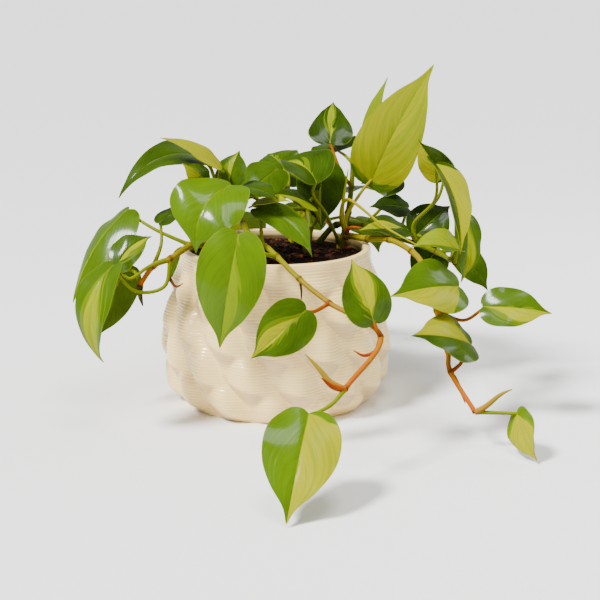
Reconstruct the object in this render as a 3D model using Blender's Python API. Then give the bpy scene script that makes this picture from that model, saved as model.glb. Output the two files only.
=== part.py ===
"""A potted brasil philodendron: a waved stoneware pot, its potting mix, and nine leafy stems.

Metres, +Z up. The origin is on the surface that the pot stands on, on the pot's axis. The front is -Y.
Places in the tables below are in millimetres, because each leaf and stem was placed by hand.
"""

import math
from collections import namedtuple

import bmesh
import bpy
from mathutils import Matrix, Vector

MM = 0.001

# The pot
POT_HEIGHT = 0.105
RIM_RADIUS = 0.0640
BELLY_RADIUS = 0.0765
FOOT_RADIUS = 0.0635
POT_WALL = 0.0050
POT_FLOOR = 0.0060
LIP = 0.0014
WAVES_AROUND = 14
WAVE_PITCH = 0.047
WAVE_HEIGHT = 0.0028
FRONT_CREST = 0.051
POT_SIDES = 56

# The potting mix
SOIL_GAP = 0.0003
SOIL_BELOW_RIM = 0.0075
SOIL_CROWN = 0.0030
SOIL_SIDES = 28
HOLE_GAP = 0.0004

# The plant
BLADE = 0.0008
BLADE_COLUMNS = (0.0, 0.55, 1.0)
CUP = 0.16
RIPPLE = 0.09
PETIOLE_RADIUS = 0.00115
STEM_SIDES_LEVEL = 1
ROOT_DEPTH = 18
PETIOLE_SIDES_LEVEL = 0
PETIOLE_UNDER_BLADE = 0.03

# Half a leaf's edge from the notch round the lobe to the tip: the share of the length from the petiole
# towards the tip, and the share of half the width.
LEAF_EDGE = (
    (0.00, 0.00),
    (-0.035, 0.22),
    (-0.01, 0.55),
    (0.11, 0.86),
    (0.28, 1.00),
    (0.50, 0.92),
    (0.70, 0.60),
    (0.86, 0.18),
    (1.00, 0.00),
)

# A leaf: the stem's point that its petiole leaves, the petiole's points on the way, where the petiole joins
# the blade, the blade's tip, its width, the way its upper face looks, how far its midrib bows towards that
# face and how far each half rises from the midrib, as shares, how far its midrib bends sideways, as a share,
# and how much narrower than usual it gets towards the tip, as a share.
Leaf = namedtuple("Leaf", "node way base tip width face bow rise bend taper", defaults=(0.08, 0.18, 0, 0))

# A sheath, root or spike: the stem's point that it leaves, its points, and its radius at the start.
Spike = namedtuple("Spike", "node points radius")

# A stem: its points, its radius at the start and at the end, its leaves and its spikes.
Stem = namedtuple("Stem", "points start end leaves spikes")

STEMS = {
    "front_stem": Stem(
        points=(
            (-12, -34, 101),
            (-8, -44, 114),
            (2, -66, 111),
            (16, -84, 101),
            (34, -100, 90),
            (63, -128, 77),
            (41, -165, 57),
        ),
        start=1.9,
        end=1.5,
        leaves=(
            Leaf(1, ((-9, -38, 126),), (-11, -32, 136), (24, -52, 108), 24, (0.2, -0.6, 0.8), bend=-0.1),
            Leaf(2, ((-9, -74, 116), (-17, -80, 126)), (-21, -84, 129), (-33, -92, 59), 42, (-0.1, -1, 0.15)),
            Leaf(4, ((25, -108, 87),), (20, -112, 89), (-13, -120, 61), 31, (0, -1, 0.2)),
            Leaf(5, ((61, -131, 81),), (59, -130, 86), (46, -118, 121), 28, (0, -1, 0.2)),
            Leaf(6, ((33, -174, 51),), (21, -182, 49), (9, -222, 2), 42, (0, -0.75, 0.66)),
        ),
        spikes=(
            Spike(5, ((60, -133, 70), (53, -136, 68), (47, -136, 71)), 1.4),
            Spike(6, ((33, -164, 61), (26, -162, 69), (19, -160, 76)), 2.0),
            Spike(6, ((34, -169, 60), (28, -172, 66)), 1.8),
            Spike(3, ((17, -84, 94), (17, -83, 88)), 0.8),
        ),
    ),
    "right_stem": Stem(
        points=(
            (44, 18, 101),
            (48, 13, 109),
            (62, 2, 109),
            (76, -5, 110),
            (90, -20, 105),
            (97, -34, 97),
            (103, -60, 75),
            (108, -82, 55),
            (109, -92, 44),
            (122, -112, 25),
        ),
        start=2.5,
        end=1.4,
        leaves=(
            Leaf(
                1,
                ((48, 14, 122), (58, 19, 138)),
                (65, 21, 145),
                (104, 0, 226),
                46,
                (-0.15, -1, 0.1),
                bow=0.06,
                bend=-0.02,
                taper=0.12,
            ),
            Leaf(
                0,
                ((40, 8, 112), (33, -3, 128), (25, -10, 141)),
                (27, -13, 149),
                (1, 18, 159),
                38,
                (0.15, -0.5, 0.85),
                rise=0.55,
                bend=0.12,
            ),
            Leaf(5, ((107, -48, 86),), (117, -58, 90), (71, -92, 92), 39, (0.1, -0.75, 0.66)),
            Leaf(8, ((116, -88, 49),), (123, -80, 58), (83, -105, 71), 35, (-0.1, -0.65, 0.75)),
            Leaf(6, ((120, -62, 69),), (132, -62, 78), (174, -72, 76), 28, (0, -0.8, 0.6)),
            Leaf(9, ((136, -113, 25),), (147, -114, 26), (156, -135, 3), 24, (-0.9, -0.3, 0.3)),
        ),
        spikes=(
            Spike(9, ((128, -113, 29), (136, -115, 37), (143, -116, 41)), 1.9),
            Spike(1, ((45, 9, 127), (49, 15, 155)), 1.7),
            Spike(1, ((44, 6, 124), (49, 1, 136), (72, -10, 120), (95, -24, 109)), 1.5),
            Spike(1, ((50, 5, 116), (58, 1, 117)), 1.6),
            Spike(8, ((113, -95, 38), (117, -104, 28)), 1.6),
        ),
    ),
    "upright_stem": Stem(
        points=((46, 32, 101), (50, 32, 122), (52, 32, 140), (53, 34, 156)),
        start=2.3,
        end=1.6,
        leaves=(
            Leaf(3, ((57, 36, 158),), (61, 37, 162), (76, 33, 215), 24, (-0.85, -0.5, 0.1), 0.04, taper=0.3),
            Leaf(2, ((44, 34, 152),), (37, 42, 169), (40, 72, 195), 36, (0, -0.8, 0.6), taper=0.4),
            Leaf(3, ((48, 46, 160),), (44, 56, 162), (34, 80, 164), 36, (0, -0.6, 0.8)),
        ),
        spikes=(),
    ),
    "centre_stem": Stem(
        points=((20, 0, 101), (23, 4, 116), (20, 12, 128), (8, 18, 136)),
        start=2.2,
        end=1.6,
        leaves=(
            Leaf(3, ((4, 20, 147),), (1, 14, 155), (-23, -8, 135), 30, (-0.2, -0.85, 0.5)),
            Leaf(3, ((8, 34, 147),), (5, 44, 152), (-7, 62, 159), 32, (0, -0.6, 0.8)),
            Leaf(2, ((30, 26, 142), (32, 32, 152)), (31, 30, 157), (31, 18, 113), 34, (-0.1, -1, 0.2), 0.06),
            Leaf(1, ((28, -2, 124),), (26, -6, 132), (-2, -26, 144), 22, (0.1, -0.4, 0.9)),
            Leaf(3, ((-6, -8, 136), (-18, -24, 144)), (-21, -31, 149), (2, -44, 144), 24, (0.1, -0.35, 0.93)),
            Leaf(2, ((4, -8, 131), (-8, -22, 135)), (-15, -28, 137), (10, -42, 142), 17, (0, -0.25, 0.97)),
        ),
        spikes=(),
    ),
    "left_upper_stem": Stem(
        points=((-30, -8, 101), (-34, -14, 118), (-36, -20, 134), (-38, -20, 148)),
        start=2.1,
        end=1.5,
        leaves=(
            Leaf(
                2,
                ((-32, -34, 148),),
                (-27, -46, 153),
                (-48, -70, 114),
                41,
                (-0.1, -0.8, 0.6),
                bow=0.18,
                bend=0.12,
                taper=-0.3,
            ),
            Leaf(2, ((-30, -22, 144),), (-30, -22, 149), (-23, -14, 171), 28, (-0.6, -0.7, 0.3)),
            Leaf(
                3,
                ((-43, -12, 160),),
                (-48, -6, 163),
                (-99, -42, 144),
                38,
                (-0.1, -0.5, 0.85),
                bow=0.25,
                taper=0.4,
            ),
            Leaf(3, ((-36, -26, 156),), (-34, -29, 161), (-72, -39, 182), 20, (0.3, -0.3, 0.9)),
            Leaf(3, ((-41, -30, 150),), (-44, -36, 152), (-58, -46, 167), 16, (-0.3, -0.7, 0.6)),
        ),
        spikes=(),
    ),
    "left_lower_stem": Stem(
        points=(
            (-40, -24, 101),
            (-44, -35, 111),
            (-53, -50, 115),
            (-65, -61, 109),
            (-76, -60, 104),
            (-86, -52, 90),
        ),
        start=2.3,
        end=1.6,
        leaves=(
            Leaf(
                2,
                ((-74, -44, 123), (-87, -37, 129)),
                (-95, -30, 135),
                (-130, -48, 77),
                40,
                (-0.7, -0.6, 0.4),
                bow=0.1,
                rise=-0.25,
                taper=0.3,
            ),
            Leaf(4, ((-72, -50, 116),), (-74, -42, 128), (-48, -26, 137), 20, (0, -0.2, 0.98)),
            Leaf(
                3,
                ((-78, -66, 105), (-90, -70, 98)),
                (-98, -66, 105),
                (-77, -56, 122),
                23,
                (0, -0.6, 0.8),
                bend=-0.1,
            ),
            Leaf(
                3,
                ((-69, -66, 92), (-86, -74, 91)),
                (-98, -80, 109),
                (-105, -88, 49),
                29,
                (-0.6, -0.75, 0.1),
                bow=0.24,
            ),
            Leaf(5, ((-90, -44, 96),), (-96, -39, 99), (-118, -49, 50), 33, (-0.2, 0.9, 0.4)),
        ),
        spikes=(
            Spike(3, ((-66, -62, 98), (-62, -65, 92), (-57, -66, 94)), 1.3),
            Spike(5, ((-86, -54, 84), (-84, -57, 77)), 2.2),
        ),
    ),
    "right_back_stem": Stem(
        points=(
            (30, 34, 101),
            (42, 38, 112),
            (60, 32, 112),
            (80, 22, 107),
            (96, 10, 104),
            (108, -8, 102),
            (115, -28, 101),
            (116, -42, 102),
        ),
        start=2.2,
        end=1.5,
        leaves=(
            Leaf(
                4,
                ((94, 10, 118), (107, 1, 136)),
                (105, -14, 162),
                (116, -64, 112),
                36,
                (0.62, -0.6, 0.38),
                bow=0.1,
                rise=0.4,
                taper=0.35,
            ),
            Leaf(
                4,
                ((95, 12, 118), (109, 4, 136)),
                (114, 2, 152),
                (94, -4, 177),
                22,
                (-0.15, -0.95, -0.34),
                rise=0.4,
            ),
            Leaf(7, (), (118, -46, 111), (87, -50, 114), 28, (0, -0.27, 0.96), rise=0.5),
            Leaf(6, ((121, -22, 114),), (125, -18, 129), (121, -38, 88), 27, (0.6, -0.8, 0.1)),
            Leaf(5, ((118, -4, 102),), (123, -1, 103), (143, -12, 76), 21, (0.2, -0.9, 0.3)),
            Leaf(2, ((74, 56, 120),), (90, 55, 141), (60, 60, 138), 32, (0, -0.6, 0.8)),
            Leaf(3, ((88, 36, 112),), (93, 42, 123), (65, 36, 125), 24, (0, -0.5, 0.87)),
            Leaf(4, ((93, 14, 109),), (90, 14, 113), (55, -6, 116), 26, (0, -0.45, 0.9)),
            Leaf(4, ((100, 18, 107),), (97, 22, 107), (121, 30, 127), 32, (0, -0.8, 0.6)),
            Leaf(5, ((112, 14, 100),), (113, 26, 97), (94, 20, 75), 28, (0, -1, 0.3)),
        ),
        spikes=(),
    ),
    "back_left_stem": Stem(
        points=(
            (-18, 28, 101),
            (-24, 42, 112),
            (-32, 62, 116),
            (-42, 84, 106),
            (-48, 97, 86),
            (-52, 104, 62),
        ),
        start=2.2,
        end=1.4,
        leaves=(
            Leaf(1, ((-28, 44, 124),), (-34, 42, 130), (-59, 28, 137), 34, (-0.2, 0, 1), 0.1),
            Leaf(2, ((-26, 66, 128),), (-22, 70, 134), (-8, 104, 124), 38, (0, 0.5, 0.85), 0.12),
            Leaf(2, ((-44, 70, 122),), (-50, 76, 124), (-64, 112, 106), 36, (-0.5, 0.4, 0.7), 0.12),
            Leaf(3, ((-36, 94, 110),), (-32, 104, 108), (-24, 132, 66), 38, (0.1, 1, 0.4), 0.1),
            Leaf(4, ((-56, 100, 84),), (-62, 104, 82), (-78, 120, 40), 34, (-0.4, 0.9, 0.3), 0.1),
            Leaf(5, ((-50, 110, 54),), (-48, 114, 50), (-40, 128, 6), 28, (0.1, 1, 0.3), 0.06),
        ),
        spikes=(Spike(5, ((-54, 106, 54), (-58, 108, 42)), 1.5),),
    ),
    "back_right_stem": Stem(
        points=((10, 40, 101), (16, 50, 114), (24, 66, 117), (36, 90, 106), (46, 104, 84)),
        start=2.2,
        end=1.4,
        leaves=(
            Leaf(1, ((15, 56, 128),), (15, 60, 136), (16, 92, 146), 32, (0, 0.1, 0.95), 0.1),
            Leaf(2, ((36, 66, 126),), (46, 70, 130), (80, 88, 124), 38, (0.3, 0.3, 0.9), 0.14),
            Leaf(3, ((28, 98, 114),), (22, 106, 114), (14, 134, 74), 38, (0, 1, 0.4), 0.1),
            Leaf(3, ((50, 94, 108),), (58, 100, 106), (78, 122, 74), 36, (0.4, 0.7, 0.6), 0.12),
            Leaf(4, ((52, 112, 78),), (54, 118, 72), (58, 134, 26), 32, (0.1, 1, 0.3), 0.08),
        ),
        spikes=(Spike(4, ((48, 108, 76), (50, 110, 66)), 1.5),),
    ),
}


def clear_scene():
    for old in list(bpy.data.objects):
        bpy.data.objects.remove(old, do_unlink=True)


def link(name, mesh, material=None):
    obj = bpy.data.objects.new(name, mesh)
    bpy.context.scene.collection.objects.link(obj)
    if material:
        mesh.materials.clear()
        mesh.materials.append(material)
    return obj


def material(name, colour, roughness):
    made = bpy.data.materials.new(name)
    made.use_nodes = True
    shader = made.node_tree.nodes["Principled BSDF"]
    shader.inputs["Base Color"].default_value = (*colour, 1)
    shader.inputs["Roughness"].default_value = roughness
    shader.inputs["Metallic"].default_value = 0
    return made


def smooth(mesh):
    """Shades the round faces smooth and keeps the edges of blades and rims crisp."""
    mesh.shade_smooth()
    mesh.set_sharp_from_angle(angle=math.radians(40))


def smooth_curve(points, at):
    """The place a share `at` of the way along a smooth curve through the points."""
    spans = len(points) - 1
    i = min(int(at * spans), spans - 1)
    t = at * spans - i
    a, b = Vector(points[i]), Vector(points[i + 1])
    before = Vector(points[i - 1]) if i else a * 2 - b
    after = Vector(points[i + 2]) if i + 2 <= spans else b * 2 - a
    squared = 2 * before - 5 * a + 4 * b - after
    cubed = 3 * a - before - 3 * b + after
    return 0.5 * (2 * a + (b - before) * t + squared * t * t + cubed * t**3)


def turned_solid(name, profile, sides):
    """A closed solid of revolution: the profile runs from the axis, round the outside, back to the axis."""
    shape = bmesh.new()
    edges = []
    corners = [shape.verts.new((r, 0, z)) for r, z in profile]
    for a, b in zip(corners, corners[1:]):
        edges.append(shape.edges.new((a, b)))
    turned = corners + edges
    bmesh.ops.spin(
        shape, geom=turned, cent=(0, 0, 0), axis=(0, 0, 1), angle=math.tau, steps=sides, use_merge=True
    )
    bmesh.ops.remove_doubles(shape, verts=shape.verts, dist=1e-6)
    bmesh.ops.recalc_face_normals(shape, faces=shape.faces)
    mesh = bpy.data.meshes.new(name)
    shape.to_mesh(mesh)
    shape.free()
    return mesh


def pot_radius(z):
    """The pot's outer radius at a height, without its waves."""
    points = (
        (0.0, FOOT_RADIUS),
        (0.10, FOOT_RADIUS + 0.0085),
        (0.25, BELLY_RADIUS - 0.0012),
        (0.42, BELLY_RADIUS),
        (0.60, BELLY_RADIUS - 0.0022),
        (0.78, BELLY_RADIUS - 0.0078),
        (0.90, RIM_RADIUS + 0.0010),
        (1.0, RIM_RADIUS),
    )
    share = z / POT_HEIGHT
    for (low, a), (high, b) in zip(points, points[1:]):
        if share <= high:
            t = (share - low) / (high - low)
            return a + (b - a) * t
    return RIM_RADIUS


def pot_wave(angle, z):
    """How far the wall stands out: diamond pillows, steeper below, that fade out at the rim and the foot."""
    turn = angle + math.pi / 2
    up = math.tau * (z - FRONT_CREST) / WAVE_PITCH + turn
    up += 0.35 * math.cos(2 * up)
    falling = math.sqrt(math.cos((WAVES_AROUND * turn + up) / 2) ** 2 + 0.005)
    rising = math.sqrt(math.cos((WAVES_AROUND * turn - up) / 2) ** 2 + 0.03)
    fade = min(1, max(0, (POT_HEIGHT - z) / 0.030)) * min(1, 0.35 + z / 0.014)
    return WAVE_HEIGHT * fade * (2 * falling * (0.35 + 0.65 * rising) - 1)


def make_pot(clay):
    levels = 12
    shoulder = POT_HEIGHT - LIP
    outer = [(pot_radius(shoulder * i / levels), shoulder * i / levels) for i in range(levels + 1)]
    inner = [
        (RIM_RADIUS - LIP, POT_HEIGHT),
        (RIM_RADIUS - POT_WALL + LIP, POT_HEIGHT),
        (RIM_RADIUS - POT_WALL, shoulder),
        (RIM_RADIUS - POT_WALL, POT_HEIGHT - 0.030),
        (BELLY_RADIUS - POT_WALL - 0.004, 0.045),
        (FOOT_RADIUS - POT_WALL, POT_FLOOR + 0.006),
        (FOOT_RADIUS - POT_WALL - 0.006, POT_FLOOR),
    ]
    mesh = turned_solid("pot", [(0, 0), *outer, *inner, (0, POT_FLOOR)], POT_SIDES)
    for vertex in mesh.vertices:
        x, y, z = vertex.co
        radius = math.hypot(x, y)
        if z < shoulder + 0.0001 and radius > pot_radius(z) - 0.5 * POT_WALL:
            grown = 1 + pot_wave(math.atan2(y, x), z) / radius
            vertex.co = (x * grown, y * grown, z)
    smooth(mesh)
    return link("pot", mesh, clay)


def soil_top(x, y):
    radius = math.hypot(x, y) / RIM_RADIUS
    lumps = 0.0005 * math.sin(x * 310 + 1) * math.cos(y * 270 + 2)
    return POT_HEIGHT - SOIL_BELOW_RIM + SOIL_CROWN * (1 - radius * radius) + lumps


def make_soil(mix):
    inside = RIM_RADIUS - POT_WALL - SOIL_GAP
    top = POT_HEIGHT - SOIL_BELOW_RIM
    profile = [
        (0, POT_FLOOR + SOIL_GAP),
        (FOOT_RADIUS - POT_WALL - 0.0066, POT_FLOOR + SOIL_GAP),
        (FOOT_RADIUS - POT_WALL - SOIL_GAP, POT_FLOOR + 0.0063),
        (BELLY_RADIUS - POT_WALL - 0.0045, 0.045),
        (inside - SOIL_GAP, POT_HEIGHT - 0.030),
        (inside - SOIL_GAP, top),
        (inside * 0.66, top),
        (inside * 0.33, top),
        (0, top),
    ]
    mesh = turned_solid("potting_mix", profile, SOIL_SIDES)
    for vertex in mesh.vertices:
        x, y, z = vertex.co
        if abs(z - top) < 1e-6:
            vertex.co.z = soil_top(x, y)
    soil = link("potting_mix", mesh, mix)
    for name, stem in STEMS.items():
        x, y, z = (MM * v for v in stem.points[0])
        z -= ROOT_DEPTH * MM
        radius = stem.start * MM + HOLE_GAP
        bpy.ops.mesh.primitive_cylinder_add(
            vertices=8,
            radius=radius / math.cos(math.pi / 8),
            depth=0.04,
            location=(x, y, z + 0.02 - HOLE_GAP),
        )
        cutter = bpy.context.object
        cutter.name = f"hole_for_{name}"
        cutter.hide_render = True
        cutter.display_type = "WIRE"
        cut = soil.modifiers.new(cutter.name, "BOOLEAN")
        cut.operation = "DIFFERENCE"
        cut.object = cutter
    return soil


def tube(name, points, start, end, sides_level, steps, root=0):
    """A closed round rod along a smooth curve through the points, on an upright root, between two radii."""
    curve = bpy.data.curves.new(name, "CURVE")
    curve.dimensions = "3D"
    curve.bevel_depth = MM
    curve.bevel_resolution = sides_level
    curve.use_fill_caps = True
    line = curve.splines.new("POLY")
    places = [(smooth_curve(points, i / steps), start + (end - start) * i / steps) for i in range(steps + 1)]
    if root:
        places.insert(0, (Vector(points[0]) - Vector((0, 0, root)), start))
    line.points.add(len(places) - 1)
    for point, (place, radius) in zip(line.points, places):
        point.co = (*(place * MM), 1)
        point.radius = radius
    rod = bpy.data.objects.new(name, curve)
    mesh = bpy.data.meshes.new_from_object(rod)
    bpy.data.objects.remove(rod)
    bpy.data.curves.remove(curve)
    shape = bmesh.new()
    shape.from_mesh(mesh)
    bmesh.ops.remove_doubles(shape, verts=shape.verts, dist=1e-6)
    bmesh.ops.recalc_face_normals(shape, faces=shape.faces)
    bmesh.ops.triangulate(shape, faces=shape.faces)
    shape.to_mesh(mesh)
    shape.free()
    return link(name, mesh)


def blade_place(leaf, along, across):
    """A place on the leaf's mid surface: `along` is a share of the length and `across` of half the width."""
    base, tip = Vector(leaf.base), Vector(leaf.tip)
    length = (tip - base).length
    half = leaf.width / 2
    axis = (tip - base) / length
    face = Vector(leaf.face)
    face = (face - axis * face.dot(axis)).normalized()
    spread = 2 * math.atan(2 * leaf.bow)
    bend_radius = length / (2 * math.sin(spread))
    angle = spread * (2 * along - 1)
    forward = length / 2 + bend_radius * math.sin(angle)
    up = bend_radius * (math.cos(angle) - math.cos(spread))
    across *= 1 - leaf.taper * 6.75 * along**2 * (1 - along)
    sideways = half * across + leaf.bend * length * 4 * along * (1 - along)
    normal = face * math.cos(angle) + axis * math.sin(angle)
    rise = half * (leaf.rise * abs(across) - (CUP + RIPPLE * math.sin(9 * along + 2 * across)) * across**2)
    return base + axis * forward + face * up + axis.cross(face) * sideways + normal * rise


def leaf_blade(name, leaf):
    """The blade as a thin sheet of triangles with an even thickness, alike on both faces."""
    shape = bmesh.new()
    columns = [-c for c in reversed(BLADE_COLUMNS[1:])] + list(BLADE_COLUMNS)
    join = shape.verts.new(blade_place(leaf, 0, 0) * MM)
    tip = shape.verts.new(blade_place(leaf, 1, 0) * MM)
    rows = []
    for i, (reach, spread) in enumerate(LEAF_EDGE[1:-1], start=1):
        root = (i / (len(LEAF_EDGE) - 1)) ** 1.2
        row = []
        for c in columns:
            along = root + (reach - root) * abs(c)
            row.append(shape.verts.new(blade_place(leaf, along, spread * c) * MM))
        rows.append(row)
    for a, b in zip(rows[0], rows[0][1:]):
        shape.faces.new((join, b, a))
    for a, b in zip(rows[-1], rows[-1][1:]):
        shape.faces.new((tip, a, b))
    middle = len(columns) // 2
    for near, far in zip(rows, rows[1:]):
        for k in range(len(columns) - 1):
            quad = (near[k], near[k + 1], far[k + 1], far[k])
            if k < middle:
                shape.faces.new((quad[0], quad[1], quad[2]))
                shape.faces.new((quad[0], quad[2], quad[3]))
            else:
                shape.faces.new((quad[0], quad[1], quad[3]))
                shape.faces.new((quad[1], quad[2], quad[3]))
    bmesh.ops.recalc_face_normals(shape, faces=shape.faces)
    mesh = bpy.data.meshes.new(name)
    shape.to_mesh(mesh)
    shape.free()
    blade = link(name, mesh)
    solid = blade.modifiers.new("thickness", "SOLIDIFY")
    solid.thickness = BLADE
    solid.offset = 0
    return blade


def petiole_points(stem, leaf):
    """From inside the stem, by the points on the way, to just under the blade's midrib."""
    under = blade_place(leaf, PETIOLE_UNDER_BLADE, 0)
    return (stem.points[leaf.node], *leaf.way, tuple(under))


def stem_pieces(name, stem):
    """The closed solids that grew as one stem: its rod, petioles, blades and spikes."""
    steps = 2 * len(stem.points) - 2
    rod = tube(name, stem.points, stem.start, stem.end, STEM_SIDES_LEVEL, steps, ROOT_DEPTH)
    pieces = []
    for i, leaf in enumerate(stem.leaves):
        thick = PETIOLE_RADIUS / MM
        points = petiole_points(stem, leaf)
        pieces.append(tube(f"{name}_petiole_{i}", points, thick * 1.15, thick * 0.9, PETIOLE_SIDES_LEVEL, 4))
        pieces.append(leaf_blade(f"{name}_leaf_{i}", leaf))
    for i, spike in enumerate(stem.spikes):
        points = (stem.points[spike.node], *spike.points)
        pieces.append(tube(f"{name}_spike_{i}", points, spike.radius, 0.35, PETIOLE_SIDES_LEVEL, 4))
    return rod, pieces


def make_stem(name, stem, green):
    rod, pieces = stem_pieces(name, stem)
    group = bpy.data.collections.new(f"{name}_pieces")
    bpy.context.scene.collection.children.link(group)
    for piece in pieces:
        bpy.context.scene.collection.objects.unlink(piece)
        group.objects.link(piece)
    join = rod.modifiers.new("grown together", "BOOLEAN")
    join.operation = "UNION"
    join.operand_type = "COLLECTION"
    join.collection = group
    join.solver = "EXACT"
    bpy.context.view_layer.update()
    grown = bpy.data.meshes.new_from_object(rod.evaluated_get(bpy.context.evaluated_depsgraph_get()))
    rod.modifiers.remove(join)
    rod.data = grown
    for piece in pieces:
        bpy.data.objects.remove(piece)
    bpy.data.collections.remove(group)
    grown.materials.clear()
    grown.materials.append(green)
    smooth(grown)
    return rod


def main():
    clear_scene()
    make_pot(material("cream_stoneware", (0.86, 0.76, 0.60), 0.3))
    make_soil(material("potting_mix", (0.06, 0.025, 0.015), 0.95))
    for name, stem in STEMS.items():
        green = material(name, (0.22, 0.42, 0.04), 0.35)
        make_stem(name, stem, green)


if __name__ == "__main__":
    main()
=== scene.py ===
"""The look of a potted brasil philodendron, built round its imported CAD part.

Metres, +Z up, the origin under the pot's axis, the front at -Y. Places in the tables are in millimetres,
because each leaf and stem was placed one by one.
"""

import math
import random
from collections import namedtuple
from contextlib import contextmanager

import bpy
from bpy.props import FloatProperty, FloatVectorProperty, IntProperty, PointerProperty
from mathutils import Matrix, Vector, noise


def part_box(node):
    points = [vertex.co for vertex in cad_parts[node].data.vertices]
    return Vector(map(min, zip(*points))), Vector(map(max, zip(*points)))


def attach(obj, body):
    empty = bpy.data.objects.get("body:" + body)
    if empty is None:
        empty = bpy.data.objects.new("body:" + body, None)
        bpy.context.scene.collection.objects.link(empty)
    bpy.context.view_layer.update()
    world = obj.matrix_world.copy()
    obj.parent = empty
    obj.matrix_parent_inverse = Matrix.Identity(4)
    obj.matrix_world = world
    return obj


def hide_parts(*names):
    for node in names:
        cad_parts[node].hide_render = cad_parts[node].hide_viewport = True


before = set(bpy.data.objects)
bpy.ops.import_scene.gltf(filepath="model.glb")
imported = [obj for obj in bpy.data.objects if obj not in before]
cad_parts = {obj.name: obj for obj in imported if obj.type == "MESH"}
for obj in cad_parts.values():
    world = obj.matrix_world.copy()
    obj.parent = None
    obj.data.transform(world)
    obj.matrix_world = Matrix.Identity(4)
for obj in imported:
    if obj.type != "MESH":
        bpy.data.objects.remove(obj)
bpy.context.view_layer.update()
POT_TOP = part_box("pot")[1]

bl_info = {
    "name": "Potted Brasil Philodendron",
    "version": (1, 0, 0),
    "blender": (4, 5, 0),
    "location": "View3D > Sidebar > Plant",
    "description": "Builds a waved stoneware pot with a trailing variegated plant",
    "category": "Add Mesh",
}

MM = 0.001

# The pot: its wall, its lip's round edge, and the pillows round its belly, of which one has its crest at
# the front
POT_HEIGHT = POT_TOP.z
RIM_RADIUS = 0.0640
BELLY_RADIUS = 0.0765
FOOT_RADIUS = 0.0635
POT_WALL = 0.0050
POT_FLOOR = 0.0060
LIP = 0.0016
WAVES_AROUND = 14
WAVE_PITCH = 0.047
WAVE_HEIGHT = 0.0032
FRONT_CREST = 0.051

# Inside the pot: the heights of its widest place and of its shoulder, and the round edge of its floor
INNER_BELLY = 0.045
INNER_SHOULDER = POT_HEIGHT - 0.030
INNER_FOOT_ROUND = 0.006

# The potting mix, and how far below the rim the painted shade on the inner wall ends
SOIL_GAP = 0.0003
SOIL_BELOW_RIM = 0.0075
SOIL_CROWN = 0.0030
INNER_SHADE_BELOW_RIM = 0.0022

# Bark chips: how far out they lie, and the sizes of the smallest and the largest
CHIPS_REACH = 0.0555
CHIP_SIZES = (0.0014, 0.0052)

# Half a leaf's edge from the notch round the lobe to the tip: the share of the length from the petiole
# towards the tip, and the share of half the width.
LEAF_EDGE = (
    (0.00, 0.00),
    (-0.035, 0.22),
    (-0.01, 0.55),
    (0.11, 0.86),
    (0.28, 1.00),
    (0.50, 0.92),
    (0.70, 0.60),
    (0.86, 0.18),
    (1.00, 0.00),
)

# How deep a blade is cupped, ripples and flutters, as shares of half its width, and how fast along it
CUP = 0.16
RIPPLE = 0.09
RIPPLES = 9
FLUTTER = 0.014
FLUTTERS = 23

# How deep a stem stands in the mix, in millimetres
ROOT_DEPTH = 18

# A leaf: the stem's point that its petiole leaves, the petiole's points on the way, where the petiole joins
# the blade, the blade's tip, its width, the way its upper face looks, how far its midrib bows towards that
# face and how far each half rises from the midrib, as shares, how far its midrib bends sideways, as a share,
# and how much narrower than usual it gets towards the tip, as a share.
Leaf = namedtuple("Leaf", "node way base tip width face bow rise bend taper", defaults=(0.08, 0.18, 0, 0))

# A sheath, root or spike: the stem's point that it leaves, its points, and its radius at the start.
Spike = namedtuple("Spike", "node points radius")

# A stem: its points, its radius at the start and at the end, its leaves and its spikes.
Stem = namedtuple("Stem", "points start end leaves spikes")

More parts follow.
